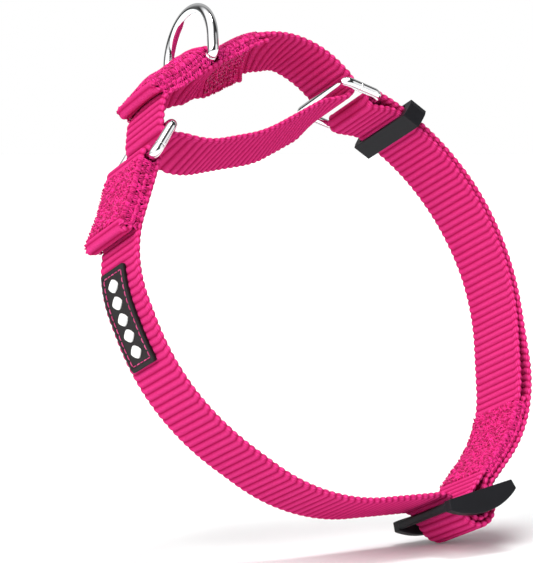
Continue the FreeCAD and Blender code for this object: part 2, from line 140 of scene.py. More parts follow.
def walk(run, distances):
    """Rows of x, z, normal x, normal z at distances along a run, the normals to its left."""
    rows = np.zeros((len(distances), 4))
    travelled = 0.0
    for piece in run:
        size = piece_length(piece)
        here = (distances >= travelled - 1e-9) & (distances <= travelled + size + 1e-9)
        gone = distances[here] - travelled
        if piece[0] == "line":
            heading = math.atan2(piece[2][1] - piece[1][1], piece[2][0] - piece[1][0])
            rows[here, 0] = piece[1][0] + gone * math.cos(heading)
            rows[here, 1] = piece[1][1] + gone * math.sin(heading)
            rows[here, 2] = -math.sin(heading)
            rows[here, 3] = math.cos(heading)
        elif size > 0:
            sense = math.copysign(1, piece[4])
            angle = piece[3] + piece[4] * gone / size
            rows[here, 0] = piece[1][0] + piece[2] * np.cos(angle)
            rows[here, 1] = piece[1][1] + piece[2] * np.sin(angle)
            rows[here, 2] = -sense * np.cos(angle)
            rows[here, 3] = -sense * np.sin(angle)
        travelled += size
    return rows


def on_run(run, along, across, height):
    """Points on a webbing surface: distance along, place across, height over the mid-surface."""
    rows = walk(run, along)
    x = rows[:, 0] + rows[:, 2] * height
    z = rows[:, 1] + rows[:, 3] * height
    return np.stack([x, across, z], -1)


# ---------------------------------------------------------------- fixed points, as in the CAD

LEFT_BAR = (-28.5, 63.4)
LEFT_RING_ANGLE = 21.0
RIGHT_BAR = (62.3, 38.5)
RIGHT_RING_ANGLE = 130.0
RING_PITCH = 13.6
RING_WIRE = 3.4
RING_WIDTH = 33.0
RING_CORNER = 2.4
LEFT_LOOP_BAR = polar(LEFT_BAR, RING_PITCH, LEFT_RING_ANGLE)
RIGHT_LOOP_BAR = polar(RIGHT_BAR, RING_PITCH, RIGHT_RING_ANGLE)
DEE_BAR = (13.0, 79.9)
DEE_WIRE = 3.8
DEE_WIDTH = 33.8
DEE_HEIGHT = 25.4
DEE_CORNER = 2.6
DEE_LEAN = 38.0
ARC = (-2.7, -3.4)
ARC_RADIUS = 78.0
BEND = (12.0, -35.5)
BEND_RADIUS = 46.0
SLIDER = (1.2, -85.6)
SLIDER_TILT = -18.5
SLIDER_HALF_LENGTH = 14.4
SLIDER_DEPTH = 7.5
END_BAR_OFFSET = 12.2
END_BAR = (4.0, 2.8)
CENTRE_BAR = (3.6, 2.6)
WIRE_GAP = 0.15
WRAP = RING_WIRE / 2 + WIRE_GAP + HALF
OVER_DEE = DEE_WIRE / 2 + WIRE_GAP + HALF
OVER_END_BAR = 4.3
STRAP_LOOP_RADIUS = 4.3
BAR_RECESS = 0.4
FLAP_ANGLE = 212.0


def on_slider(along, inward):
    return placed(SLIDER, SLIDER_TILT, along, inward)


def on_flap(along, outward):
    return placed(LEFT_BAR, FLAP_ANGLE, along, -outward)


END_BAR_DROP = END_BAR[1] / 2 + BAR_RECESS
CENTRE_BAR_DROP = SLIDER_DEPTH - CENTRE_BAR[1] / 2 - BAR_RECESS
LEFT_END_BAR = on_slider(-END_BAR_OFFSET, -END_BAR_DROP)
RIGHT_END_BAR = on_slider(END_BAR_OFFSET, -END_BAR_DROP)
STRAP_LOOP = on_slider(0.0, 1.5 - CENTRE_BAR_DROP)
HEM = 1.5  # radius of a folded end's middle
PRESS = 20.0  # radius of the gentle bends beside a fold
PRESSED = PITCH + 0.1 + PRESS
TAIL_LEVEL = PITCH + 0.15 - WRAP

neck_run = belt([
    # tail of the flap's hem, its fold, the sewn top layer, and the fold round the left ring's bar
    end_point(on_flap(7.0, TAIL_LEVEL)),
    stretch(on_flap(26.5, TAIL_LEVEL + 1.15), HEM, RIGHT),
    stretch(on_flap(15.0, TAIL_LEVEL + PRESSED), PRESS, LEFT),
    stretch(LEFT_BAR, WRAP, RIGHT),
    # down the left side and along the bottom
    stretch((-21.0, 15.0), 41.5, LEFT),
    stretch((12.5, -0.5), 78.0, LEFT),
    stretch((0.0, -15.0), 61.0, LEFT),
    # over the slider's first bar, under the sewn loop, over its last bar
    stretch(LEFT_END_BAR, OVER_END_BAR, RIGHT),
    stretch(STRAP_LOOP, STRAP_LOOP_RADIUS + PITCH, LEFT),
    stretch(RIGHT_END_BAR, OVER_END_BAR, RIGHT),
    # up the right side as the outer layer, and round the right ring's bar
    stretch(BEND, BEND_RADIUS + 2 * PITCH, LEFT),
    stretch(ARC, ARC_RADIUS + PITCH, LEFT),
    stretch(polar(ARC, ARC_RADIUS + PITCH - 14.95, 27.5), 15.0, LEFT),
    stretch(RIGHT_BAR, WRAP, LEFT),
    # back down as the inner layer
    stretch(polar(ARC, ARC_RADIUS - 7.95, 25.0), 8.0, RIGHT),
    stretch(ARC, ARC_RADIUS, RIGHT),
    stretch(BEND, BEND_RADIUS, RIGHT),
    stretch(RIGHT_END_BAR, OVER_END_BAR + 2 * PITCH, LEFT),
    # sewn loop round the slider's centre bar, and its tail between the two layers
    stretch(STRAP_LOOP, STRAP_LOOP_RADIUS, LEFT),
    stretch(RIGHT_END_BAR, OVER_END_BAR + PITCH, RIGHT),
    stretch(BEND, BEND_RADIUS + PITCH, LEFT),
    end_point(polar(BEND, BEND_RADIUS + PITCH + 0.05, -51.0)),
])
CROWN = (28.0, 47.5)
CROWN_RADIUS = 31.0
SHOULDER = (-7.0, 68.5)
COVER = SHOULDER[1] + 9.0 + PITCH
control_run = belt([
    # tail of the hem, its fold, then the cover layer that climbs over the D-ring's bar
    end_point((8.0, COVER + 0.05)),
    stretch((-10.6, COVER + 1.45), HEM, RIGHT),
    stretch((0.0, COVER + PRESSED), PRESS, LEFT),
    stretch(DEE_BAR, OVER_DEE, RIGHT),
    stretch((21.3, COVER + 3.1), 4.0, LEFT),
    # over the crown, round the right ring's bar, back underneath, round the left ring's bar
    stretch(CROWN, CROWN_RADIUS, RIGHT),
    stretch(polar(RIGHT_LOOP_BAR, 0.7, 60.0), 5.2, RIGHT),
    stretch((30.0, 98.0), 52.0, RIGHT),
    stretch(LEFT_LOOP_BAR, WRAP, RIGHT),
    # base layer, under the D-ring's bar
    stretch(SHOULDER, 9.0, RIGHT),
    stretch(CROWN, CROWN_RADIUS - PITCH, RIGHT),
    end_point(polar(CROWN, CROWN_RADIUS - PITCH + 0.05, 69.0)),
])


# ---------------------------------------------------------------- meshes

def linked(name, mesh, body, nodes):
    """An object of a mesh in the scene, riding on a body and standing for CAD nodes."""
    piece = bpy.data.objects.new(name, mesh)
    bpy.context.scene.collection.objects.link(piece)
    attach(piece, body)
    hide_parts(*nodes)
    return piece


def new_piece(name, points, faces, material, body, nodes):
    """A smooth mesh piece, its points given in millimetres."""
    mesh = bpy.data.meshes.new(name)
    mesh.from_pydata([tuple(p) for p in np.asarray(points) * MM], [], faces)
    mesh.validate()
    mesh.polygons.foreach_set("use_smooth", [True] * len(mesh.polygons))
    mesh.materials.append(material)
    return linked(name, mesh, body, nodes)


def smooth_window(values, start, end, soft):
    """1 inside a range, 0 outside it, with soft ends."""
    rise = np.clip((values - start) / soft + 0.5, 0, 1)
    fall = np.clip((end - values) / soft + 0.5, 0, 1)
    inside = np.minimum(rise, fall)
    return inside * inside * (3 - 2 * inside)


def eased(values):
    """0 below 0, 1 above 1, and smooth between."""
    inside = np.clip(values, 0, 1)
    return inside * inside * (3 - 2 * inside)


# half section of the webbing: place across, and half thickness there
SECTION = [
    (0.0, 1.0), (3.6, 1.0), (7.0, 1.0), (9.0, 0.99), (9.9, 0.93), (10.5, 1.0), (11.2, 1.0),
    (11.8, 0.88), (12.2, 0.66), (12.42, 0.36),
]
SELVAGE = 10.4  # place across where the woven edge starts
EDGE_SLANT = 0.16  # how far a rib runs ahead on the woven edge, in ribs per millimetre out
RIB_DEPTH = 0.42
RIM_DEPTH = 0.85  # the ribs' depth on the woven edge, as a share
SEWN_DEPTH = 0.55  # how much of that depth sewing takes away
DEEPEST = 0.6
SEWN_LUMPS = 0.07
SCALLOP = 0.16  # how far the edge swells in and out with the ribs
SCALLOP_FROM = 10.5
STATIONS_PER_RIB = 8


def webbing(name, run, body, nodes, flattened, material, shape=None):
    """A closed ribbed band swept along a run; stitched stretches are pressed flatter."""
    total = run_length(run)
    count = int(total / RIB * STATIONS_PER_RIB)
    along = np.linspace(0.0, total, count + 1)
    rows = walk(run, along)
    top = [(-v, h) for v, h in reversed(SECTION[1:])] + SECTION
    loop = top + [(WIDTH / 2, 0.0)]
    loop += [(v, -h) for v, h in reversed(top)] + [(-WIDTH / 2, 0.0)]
    across = np.array([v for v, h in loop])
    level = np.array([h for v, h in loop])
    slant = np.clip(np.abs(across) - SELVAGE, 0, None) * EDGE_SLANT
    phase = along[:, None] / RIB + slant[None, :]
    ridge = 1 - np.abs(2 * (phase % 1.0) - 1) ** 2.0
    pressed = np.zeros(len(along))
    for start, end in flattened:
        pressed = np.maximum(pressed, smooth_window(along, start, end, 3.0))
    depth = RIB_DEPTH * (1 - SEWN_DEPTH * pressed)
    rim = np.abs(across) > SELVAGE
    share = np.where(rim, RIM_DEPTH, 1.0)
    height = level[None, :] * HALF - np.sign(level)[None, :] * np.minimum(
        depth[:, None] * share[None, :] * (1 - ridge), np.abs(level)[None, :] * DEEPEST
    )
    lumps = np.sin(along * 2.1)[:, None] * np.sin(across * 1.9 + 1.0)[None, :]
    height -= np.sign(level)[None, :] * SEWN_LUMPS * pressed[:, None] * (1 + lumps)
    out = np.clip((np.abs(across) - SCALLOP_FROM) / 2.0, 0, 1)
    scallop = SCALLOP * out[None, :] * (2 * ridge - 1.2)
    place = across[None, :] + np.sign(across)[None, :] * scallop
    # a woven edge never runs quite straight
    sway = 0.12 * np.sin(along / 17.0) + 0.08 * np.sin(along / 7.3 + 2.0)
    place = place + sway[:, None]
    x = rows[:, 0:1] + rows[:, 2:3] * height
    z = rows[:, 1:2] + rows[:, 3:4] * height
    points = np.stack([x, place, z], -1).reshape(-1, 3)
    if shape:
        points = shape(points, np.repeat(along, len(loop)))
    ring = len(loop)
    faces = []
    for i in range(count):
        low = i * ring
        for j in range(ring):
            k = (j + 1) % ring
            faces.append((low + j, low + k, low + ring + k, low + ring + j))
    faces.append(tuple(range(ring - 1, -1, -1)))
    faces.append(tuple(range(count * ring, (count + 1) * ring)))
    piece = new_piece(name, points, faces, material, body, nodes)
    layer = piece.data.uv_layers.new(name="weave")
    grid_u = phase.reshape(-1)
    grid_v = np.repeat(across[None, :], len(along), 0).reshape(-1)
    corner = np.zeros(len(piece.data.loops), dtype=np.int32)
    piece.data.loops.foreach_get("vertex_index", corner)
    weave = np.stack([grid_u[corner], grid_v[corner]], -1)
    layer.data.foreach_set("uv", weave.reshape(-1).astype(np.float32))


STITCH_ROWS = 15
STITCH_REACH = 10.6  # half the width that the rows of stitches cover
STITCH_SINK = 0.40  # how deep a stitch's ends are under the face
STITCH_RISE = 0.54
STITCH_RADIUS = 0.25
EDGE_THREAD_AT = 11.95
EDGE_THREAD_BULGE = 0.40
EDGE_THREAD_RADIUS = 0.27
EDGE_THREAD_TALL = 1.5  # height of a stack of layers that one thread covers


def tubes(paths, normals, radius, sides=5):
    """Short thread tubes along paths given as (stitch, point, xyz), with the surface's normals."""
    step = np.gradient(paths, axis=1)
    step /= np.linalg.norm(step, axis=2, keepdims=True)
    side = np.cross(step, normals)
    side /= np.linalg.norm(side, axis=2, keepdims=True)
    lift = np.cross(side, step)
    angle = np.arange(sides) * 2 * math.pi / sides
    ring = (
        np.cos(angle)[None, None, :, None] * side[:, :, None, :]
        + np.sin(angle)[None, None, :, None] * lift[:, :, None, :]
    )
    points = paths[:, :, None, :] + radius * ring
    stitches, stations = paths.shape[:2]
    faces = []
    for s in range(stitches):
        for p in range(stations - 1):
            low = (s * stations + p) * sides
            for j in range(sides):
                k = (j + 1) % sides
                faces.append((low + j, low + sides + j, low + sides + k, low + k))
        first = s * stations * sides
        last = first + (stations - 1) * sides
        faces.append(tuple(range(first, first + sides)))
        faces.append(tuple(range(last + sides - 1, last - 1, -1)))
    return points.reshape(-1, 3), faces


def zigzag(run, face, start, end, dice, round_end=0.0):
    """Dense rows of slanted stitches on one face of a run, between two distances along it."""
    half = STITCH_REACH
    ends = []
    for row in range(STITCH_ROWS):
        middle = -half + (row + 0.5) * 2 * half / STITCH_ROWS
        high = end
        if round_end:
            high = end - round_end * (1 - math.sqrt(max(0.0, 1 - (middle / (half + 0.8)) ** 2)))
        at = start + dice.uniform(0.0, 0.8)
        while at + 0.9 < high:
            reach = dice.uniform(0.5, 1.3)
            wide = half / STITCH_ROWS * dice.uniform(-1.7, 1.7)
            ends.append((at, middle - wide, at + reach, middle + wide))
            at += dice.uniform(0.55, 0.95)
    ends = np.array(ends)
    share = np.linspace(0, 1, 5)
    along = ends[:, 0:1] + (ends[:, 2:3] - ends[:, 0:1]) * share
    across = ends[:, 1:2] + (ends[:, 3:4] - ends[:, 1:2]) * share
    hump = np.sin(share * math.pi) ** 0.6
    height = face * (HALF - STITCH_SINK + STITCH_RISE * hump[None, :] + 0 * along)
    flat = on_run(run, along.reshape(-1), across.reshape(-1), height.reshape(-1))
    rows_at = walk(run, along.reshape(-1))
    normal = face * np.stack([rows_at[:, 2], 0 * rows_at[:, 2], rows_at[:, 3]], -1)
    shape = along.shape + (3,)
    return tubes(flat.reshape(shape), normal.reshape(shape), STITCH_RADIUS)


def edge_sewing(run, start, end, low, high, dice):
    """Thread over both edges of stacked layers, between two heights over the mid-surface."""
    ends = []
    for side in (-1, 1):
        levels = max(1, round(abs(high - low) / EDGE_THREAD_TALL))
        for level in range(levels):
            middle = low + (high - low) * (level + 0.5) / levels
            at = start
            while at < end:
                tall = (high - low) / levels * dice.uniform(0.42, 0.62)
                slant = dice.uniform(-0.5, 0.5)
                lift = middle + dice.uniform(-0.1, 0.1)
                ends.append((side, at - slant, lift - tall, at + slant, lift + tall))
                at += dice.uniform(0.45, 0.8)
    ends = np.array(ends)
    share = np.linspace(0, 1, 6)
    along = ends[:, 1:2] + (ends[:, 3:4] - ends[:, 1:2]) * share
    height = ends[:, 2:3] + (ends[:, 4:5] - ends[:, 2:3]) * share
    bulge = np.sin(share * math.pi)[None, :] ** 0.7
    across = ends[:, 0:1] * (EDGE_THREAD_AT + EDGE_THREAD_BULGE * bulge + 0 * along)
    points = on_run(run, along.reshape(-1), across.reshape(-1), height.reshape(-1))
    normal = np.zeros(along.shape + (3,))
    normal[:, :, 1] = ends[:, 0:1]
    return tubes(points.reshape(along.shape + (3,)), normal, EDGE_THREAD_RADIUS)


def joined(parts):
    """Several (points, faces) pairs as one."""
    points, faces = [], []
    offset = 0
    for some_points, some_faces in parts:
        points.append(some_points)
        faces += [tuple(i + offset for i in face) for face in some_faces]
        offset += len(some_points)
    return np.concatenate(points), faces


# ---------------------------------------------------------------- node materials

def add_node(tree, kind, inputs=None, **settings):
    made = tree.nodes.new(kind)
    for key, value in settings.items():
        setattr(made, key, value)
    for key, value in (inputs or {}).items():
        if isinstance(value, bpy.types.NodeSocket):
            tree.links.new(value, made.inputs[key])
        else:
            made.inputs[key].default_value = value
    return made


def math_node(tree, operation, first, second=0.0, third=None):
    inputs = {0: first, 1: second}
    if third is not None:
        inputs[2] = third
    return add_node(tree, "ShaderNodeMath", inputs, operation=operation).outputs[0]


def mixed(tree, share, first, second):
    """A colour mix whose share is a socket."""
    made = tree.nodes.new("ShaderNodeMix")
    made.data_type = "RGBA"
    sockets = [made.inputs[0], made.inputs[6], made.inputs[7]]
    for socket, value in zip(sockets, [share, first, second]):
        if isinstance(value, bpy.types.NodeSocket):
            tree.links.new(value, socket)
        else:
            socket.default_value = value
    return made.outputs[2]


def rgba(colour):
    return (colour[0], colour[1], colour[2], 1.0)


def new_material(name, **settings):
    """A material with one Principled shader, its uniform values set on the shader's sockets."""
    material = bpy.data.materials.new(name)
    material.use_nodes = True
    tree = material.node_tree
    shader = tree.nodes["Principled BSDF"]
    for key, value in settings.items():
        shader.inputs[key.replace("_", " ")].default_value = value
    return material, tree, shader


def noise(tree, place, scale, detail):
    settings = {"Vector": place, "Scale": scale, "Detail": detail}
    return add_node(tree, "ShaderNodeTexNoise", settings).outputs[0]


def add_bump(tree, shader, strength, distance, height):
    settings = {"Strength": strength, "Distance": distance, "Height": height}
    bump = add_node(tree, "ShaderNodeBump", settings)
    tree.links.new(bump.outputs[0], shader.inputs["Normal"])


YARNS_PER_MM = 1.75
FIBRE_STRETCH = (2.6, 5.0, 1.0)


def webbing_material():
    """Woven nylon with no mirror-like gloss: ribs across the webbing, yarns along it, with painted
    shade in the grooves and between the yarns, and painted sheen on pale fibres.
    """
    material, tree, shader = new_material("pink_nylon_webbing", Specular_IOR_Level=0.0)
    weave = add_node(tree, "ShaderNodeUVMap", uv_map="weave").outputs[0]
    split = add_node(tree, "ShaderNodeSeparateXYZ", {0: weave})
    ribs, across = split.outputs[0], split.outputs[1]
    part = math_node(tree, "FRACT", ribs)
    centred = math_node(tree, "ABSOLUTE", math_node(tree, "MULTIPLY_ADD", part, 2.0, -1.0))
    groove = math_node(tree, "POWER", centred, 2.0)
    # warp yarns run along the webbing and step by half a yarn from rib to rib
    step = math_node(tree, "MULTIPLY", math_node(tree, "FLOOR", ribs), 0.5)
    yarn_at = math_node(tree, "ADD", math_node(tree, "MULTIPLY", across, YARNS_PER_MM), step)
    slant = math_node(tree, "MULTIPLY_ADD", part, 0.35, yarn_at)
    yarn = math_node(tree, "SINE", math_node(tree, "MULTIPLY", slant, 2 * math.pi))
    stretched = add_node(
        tree, "ShaderNodeVectorMath", {0: weave, 1: FIBRE_STRETCH}, operation="MULTIPLY",
    ).outputs[0]
    fibres = add_node(
        tree, "ShaderNodeTexNoise",
        {"Vector": stretched, "Scale": 1.0, "Detail": 3.0, "Roughness": 0.6},
    ).outputs[0]
    cloud = noise(tree, add_node(tree, "ShaderNodeTexCoord").outputs["Object"], 45.0, 2.0)
    cloud_share = math_node(tree, "MULTIPLY", cloud, 0.35)
    # fibre tone that differs at random along the yarns; its pale end is also painted sheen, since
    # the shader has no specular
    fibre_tone_and_sheen = mixed(tree, fibres, rgba((0.66, 0.004, 0.140)), rgba((0.98, 0.105, 0.400)))
    varied = mixed(tree, cloud_share, fibre_tone_and_sheen, rgba((0.76, 0.010, 0.195)))
    # painted shade: darker in the gaps between the warp yarns
    yarn_gap_painted_shade = math_node(tree, "MULTIPLY_ADD", yarn, -0.22, 0.22)
    yarned = mixed(tree, yarn_gap_painted_shade, varied, rgba((0.36, 0.0, 0.045)))
    # painted shade: darker in the grooves between the ribs
    groove_painted_shade = math_node(tree, "MULTIPLY", groove, 0.80)
    colour = mixed(tree, groove_painted_shade, yarned, rgba((0.32, 0.0, 0.04)))
    tree.links.new(colour, shader.inputs["Base Color"])
    rough = math_node(tree, "MULTIPLY_ADD", fibres, 0.25, 0.34)
    tree.links.new(rough, shader.inputs["Roughness"])
    yarn_height = math_node(tree, "MULTIPLY", yarn, 0.6)
    height = math_node(tree, "ADD", yarn_height, math_node(tree, "MULTIPLY", fibres, 0.8))
    add_bump(tree, shader, 0.9, 0.00016, height)
    return material


def thread_material(name, dark, light):
    """Twisted thread, each stitch a slightly different colour."""
    material, tree, shader = new_material(
        name, Specular_IOR_Level=0.4, Specular_Tint=(1.0, 0.35, 0.9, 1.0), Sheen_Weight=0.05,
        Sheen_Roughness=0.35, Sheen_Tint=(1.0, 0.4, 0.8, 1.0),
    )
    place = add_node(tree, "ShaderNodeTexCoord").outputs["Object"]
    spots = noise(tree, place, 900.0, 2.0)
    lot = add_node(tree, "ShaderNodeNewGeometry").outputs["Random Per Island"]
    spotted = math_node(tree, "MULTIPLY_ADD", spots, 0.6, -0.2)
    share = math_node(tree, "MULTIPLY_ADD", lot, 0.75, spotted)
    tree.links.new(mixed(tree, share, rgba(dark), rgba(light)), shader.inputs["Base Color"])
    twist = add_node(
        tree, "ShaderNodeTexWave", {"Vector": place, "Scale": 1100.0, "Distortion": 1.5},
        bands_direction="DIAGONAL",
    ).outputs[1]
    add_bump(tree, shader, 0.5, 0.00005, twist)
    tree.links.new(math_node(tree, "MULTIPLY_ADD", spots, 0.2, 0.35), shader.inputs["Roughness"])
    return material


def chrome_material():
    material, tree, shader = new_material("chrome_plate", Metallic=1.0)
    place = add_node(tree, "ShaderNodeTexCoord").outputs["Object"]
    haze = noise(tree, place, 160.0, 3.0)
    silver = mixed(tree, haze, rgba((0.78, 0.79, 0.80)), rgba((0.90, 0.90, 0.91)))
    tree.links.new(silver, shader.inputs["Base Color"])
    tree.links.new(math_node(tree, "MULTIPLY_ADD", haze, 0.07, 0.035), shader.inputs["Roughness"])
    add_bump(tree, shader, 0.04, 0.00003, noise(tree, place, 2400.0, 2.0))
    return material


def moulded_material(name, dark, light, rough, grain, strength):
    """Moulded black plastic or rubber: fine grain, slightly uneven gloss."""
    material, tree, shader = new_material(name, Specular_IOR_Level=0.13)
    place = add_node(tree, "ShaderNodeTexCoord").outputs["Object"]
    broad = noise(tree, place, 120.0, 2.0)
    tree.links.new(mixed(tree, broad, rgba(dark), rgba(light)), shader.inputs["Base Color"])
    tree.links.new(math_node(tree, "MULTIPLY_ADD", broad, 0.18, rough), shader.inputs["Roughness"])
    add_bump(tree, shader, strength, 0.00004, noise(tree, place, grain, 4.0))
    return material


nylon = webbing_material()
thread = thread_material("pink_polyester_thread", (0.28, 0.0, 0.035), (0.92, 0.025, 0.28))
label_yarn = thread_material("label_thread_pink", (0.45, 0.02, 0.12), (0.75, 0.10, 0.28))
chrome = chrome_material()
plastic = moulded_material(
    "black_acetal", (0.006, 0.006, 0.0075), (0.012, 0.012, 0.015), 0.34, 2600.0, 0.25)
rubber = moulded_material(
    "black_label_rubber", (0.010, 0.0085, 0.009), (0.022, 0.018, 0.020), 0.48, 1800.0, 0.4)
white_rubber = moulded_material(
    "white_label_rubber", (0.80, 0.80, 0.79), (0.90, 0.90, 0.89), 0.45, 1800.0, 0.3)


# ---------------------------------------------------------------- webbing and sewing

CREST = 2.6  # how high the sewn top is crowned
EDGE_DROP = 1.3  # how far its edges hang
TWIST = 0.8
STRAND_DIP = 3.0  # how far the lower strand sags
STRAND_TWIST = 2.6
FAR_DROP = 3.4  # how far the far edge hangs over the crown
CROWN_END = 49.0
HANG_SOFT = 8.0


def control_shape(points, along, base=False):
    """The sewn top is crowned across its width, and the lower strand dips and twists.

    Along is None for thread, which is on the cover layer, or on the base layer where base is set.
    """
    x, y = points[:, 0], points[:, 1]
    share = y / (WIDTH / 2)
    off_bar = 1 - smooth_window(x, 7.0, 19.0, 7.0)
    sewn = smooth_window(x, -8.0, 42.0, 10.0)
    crown = CREST * (1 - share ** 2) * sewn
    far = FAR_DROP * ((1 + share) / 2) ** 2
    cover_hangs = smooth_window(x, 22.0, CROWN_END, HANG_SOFT)
    base_hangs = smooth_window(x, 8.0, CROWN_END, HANG_SOFT)
    edges = (EDGE_DROP * share ** 2 + TWIST * share) * sewn * off_bar + far * cover_hangs
    base_edges = edges + far * (base_hangs - cover_hangs)
    drop = edges - crown
    if base:
        drop = base_edges - crown * off_bar
    if along is not None:
        on_base = along > strand_to
        drop = np.where(on_base, base_edges - crown * off_bar, drop)
        inside = np.clip((along - strand_from) / (strand_to - strand_from), 0, 1)
        dip = STRAND_DIP * np.exp(-((inside - 0.82) / 0.15) ** 2)
        turn = STRAND_TWIST * (1.0 - 0.45 * eased((inside - 0.35) / 0.25))
        ends = eased(inside / 0.16) * eased((1 - inside) / 0.13)
        on_strand = (along > strand_from) & (along < strand_to)
        drop = np.where(on_strand, (dip + turn * share) * ends, drop)
    points = points.copy()
    points[:, 2] -= drop
    return points


# numbers of the neck run's round stretches, where its sewing starts and ends
FLAP_TOP = 2
LEFT_FOLD = 3
INNER_BEND = 16
flap_start = to_stretch(neck_run, FLAP_TOP) - 9.0
flap_end = to_stretch(neck_run, LEFT_FOLD)
bend_start = to_stretch(neck_run, INNER_BEND)
neck_pressed = [(flap_start + 0.5, flap_end - 1.0), (bend_start + 10.0, bend_start + 43.0)]
webbing("neck_webbing", neck_run, "neck_strap", ["neck_strap"], neck_pressed, nylon)

STITCHES_SEED = 7
dice = random.Random(STITCHES_SEED)
points, faces = joined([
    zigzag(neck_run, LEFT, flap_start + 0.3, flap_end - 1.5, dice),
    edge_sewing(neck_run, flap_start - 3.0, flap_end - 2.0, HALF, -HALF - 2 * PITCH, dice),
])
new_piece(
    "flap_sewing", points, faces, thread, "neck_strap", ["ring_end_stitching"])
points, faces = joined([
    zigzag(neck_run, RIGHT, bend_start + 10.0, bend_start + 42.5, dice),
    edge_sewing(neck_run, bend_start + 11.0, bend_start + 42.0, -HALF, HALF + PITCH, dice),
])
new_piece(
    "slider_end_sewing", points, faces, thread, "neck_strap", ["slider_end_stitching"])

# numbers of the control run's round stretches
HEM_TOP = 2
NEAR_RISE = 3
FAR_FOOT = 4
CROWN_COVER = 5
LOWER_STRAND = 7
LEFT_WRAP = 8
BASE_SHOULDER = 9
hem_from = to_stretch(control_run, HEM_TOP) - 9.5
hem_to = to_stretch(control_run, NEAR_RISE) - 2.5
crown_from = to_stretch(control_run, FAR_FOOT) + 0.6
crown_to = to_stretch(control_run, CROWN_COVER) + 12.0
under_from = to_stretch(control_run, BASE_SHOULDER + 1) - 9.0
under_to = run_length(control_run) - 0.5
right_turn = piece_length(control_run[2 * LOWER_STRAND - 3])
strand_from = to_stretch(control_run, LOWER_STRAND - 1) + right_turn
strand_to = to_stretch(control_run, LEFT_WRAP)
webbing(
    "control_webbing", control_run, "control_loop", ["control_strap"],
    [(hem_from, hem_to), (crown_from, crown_to), (under_from, under_to + 5.0)],
    nylon, control_shape,
)
points, faces = joined([
    zigzag(control_run, LEFT, hem_from, hem_to, dice),
    edge_sewing(control_run, hem_from - 1.5, hem_to + 2.5, HALF, -HALF - 2 * PITCH, dice),
])
points = control_shape(points, None)
new_piece(
    "hem_sewing", points, faces, thread, "control_loop", ["control_stitching_hem_side"])
cover_points, cover_faces = joined([
    zigzag(control_run, LEFT, crown_from, crown_to, dice, round_end=7.0),
    edge_sewing(control_run, crown_from - 2.0, crown_to - 6.0, HALF, -HALF - PITCH, dice),
])
base_points, base_faces = zigzag(control_run, RIGHT, under_from, under_to, dice, round_end=5.0)
points, faces = joined([
    (control_shape(cover_points, None), cover_faces),
    (control_shape(base_points, None, base=True), base_faces),
])
new_piece(
    "crown_sewing", points, faces, thread, "control_loop", ["control_stitching_crown_side"])


# ---------------------------------------------------------------- wire rings

def rounded_loop(corners):
    """A closed run through corners, each given as (y, z, corner radius), counter-clockwise."""
    circles = []
    count = len(corners)
    for index, (y, z, radius) in enumerate(corners):
        before = corners[index - 1]
        after = corners[(index + 1) % count]
        towards = math.atan2(before[1] - z, before[0] - y)
        away = math.atan2(after[1] - z, after[0] - y)
        opening = (towards - away) % (2 * math.pi)
        bisector = away + opening / 2
        reach = radius / math.sin(opening / 2)
        centre_y = y + reach * math.cos(bisector)
        centre_z = z + reach * math.sin(bisector)
        circles.append((centre_y, centre_z, radius, LEFT))
    return belt(circles + circles[:2])[:-1]


SEAM_STATIONS = (-0.5, -0.12, -0.06, 0.0, 0.06, 0.12, 0.5)
SEAM_DEPTH = 0.14
SEAM_HALF = 0.09


def wire_ring(name, outline, wire, bar, lean, seam, body, node):
    """A ring of round wire in its own YZ plane, with the fine gap of its butt joint."""
    total = run_length(outline)
    fine = [seam + offset for offset in SEAM_STATIONS]
    along = np.array(sorted(list(np.arange(0.0, total, 0.35)) + fine)) % total
    along.sort()
    rows = walk(outline, along)
    radius = wire / 2 * (1 - SEAM_DEPTH * np.exp(-((along - seam) / SEAM_HALF) ** 2))
    sides = 40
    angle = np.arange(sides) * 2 * math.pi / sides
    y = rows[:, 0:1] + rows[:, 2:3] * radius[:, None] * np.cos(angle)[None, :]
    z = rows[:, 1:2] + rows[:, 3:4] * radius[:, None] * np.cos(angle)[None, :]
    x = radius[:, None] * np.sin(angle)[None, :]
    turn = math.radians(lean)
    world_x = bar[0] + x * math.cos(turn) + z * math.sin(turn)
    world_z = bar[1] - x * math.sin(turn) + z * math.cos(turn)
    points = np.stack([world_x, y, world_z], -1).reshape(-1, 3)
    faces = []
    count = len(along)
    for i in range(count):
        low, high = i * sides, ((i + 1) % count) * sides
        for j in range(sides):
            k = (j + 1) % sides
            faces.append((low + j, high + j, high + k, low + k))
    new_piece(name, points, faces, chrome, body, [node])


ring_half = (RING_WIDTH - RING_WIRE) / 2
oblong = rounded_loop([
    (-ring_half, 0, RING_CORNER), (ring_half, 0, RING_CORNER),
    (ring_half, RING_PITCH, RING_CORNER), (-ring_half, RING_PITCH, RING_CORNER),
])
near_side = run_length(oblong) - RING_PITCH + RING_CORNER
wire_ring(
    "left_wire_ring", oblong, RING_WIRE, LEFT_BAR, 90 - LEFT_RING_ANGLE, near_side + 6.5,
    "left_ring", "left_ring")
wire_ring(
    "right_wire_ring", oblong, RING_WIRE, RIGHT_BAR, 90 - RIGHT_RING_ANGLE, near_side + 2.0,
    "right_ring", "right_ring")
dee_half = (DEE_WIDTH - DEE_WIRE) / 2
dee_top = DEE_HEIGHT - DEE_WIRE
dee = rounded_loop([
    (-dee_half, 0, DEE_CORNER), (dee_half, 0, DEE_CORNER),
    (dee_half, dee_top, dee_half - 0.01), (-dee_half, dee_top, dee_half - 0.01),
])
wire_ring(
    "leash_wire_ring", dee, DEE_WIRE, DEE_BAR, DEE_LEAN, run_length(dee) - 1.2,
    "d_ring", "d_ring")


# ---------------------------------------------------------------- moulded slider and keeper

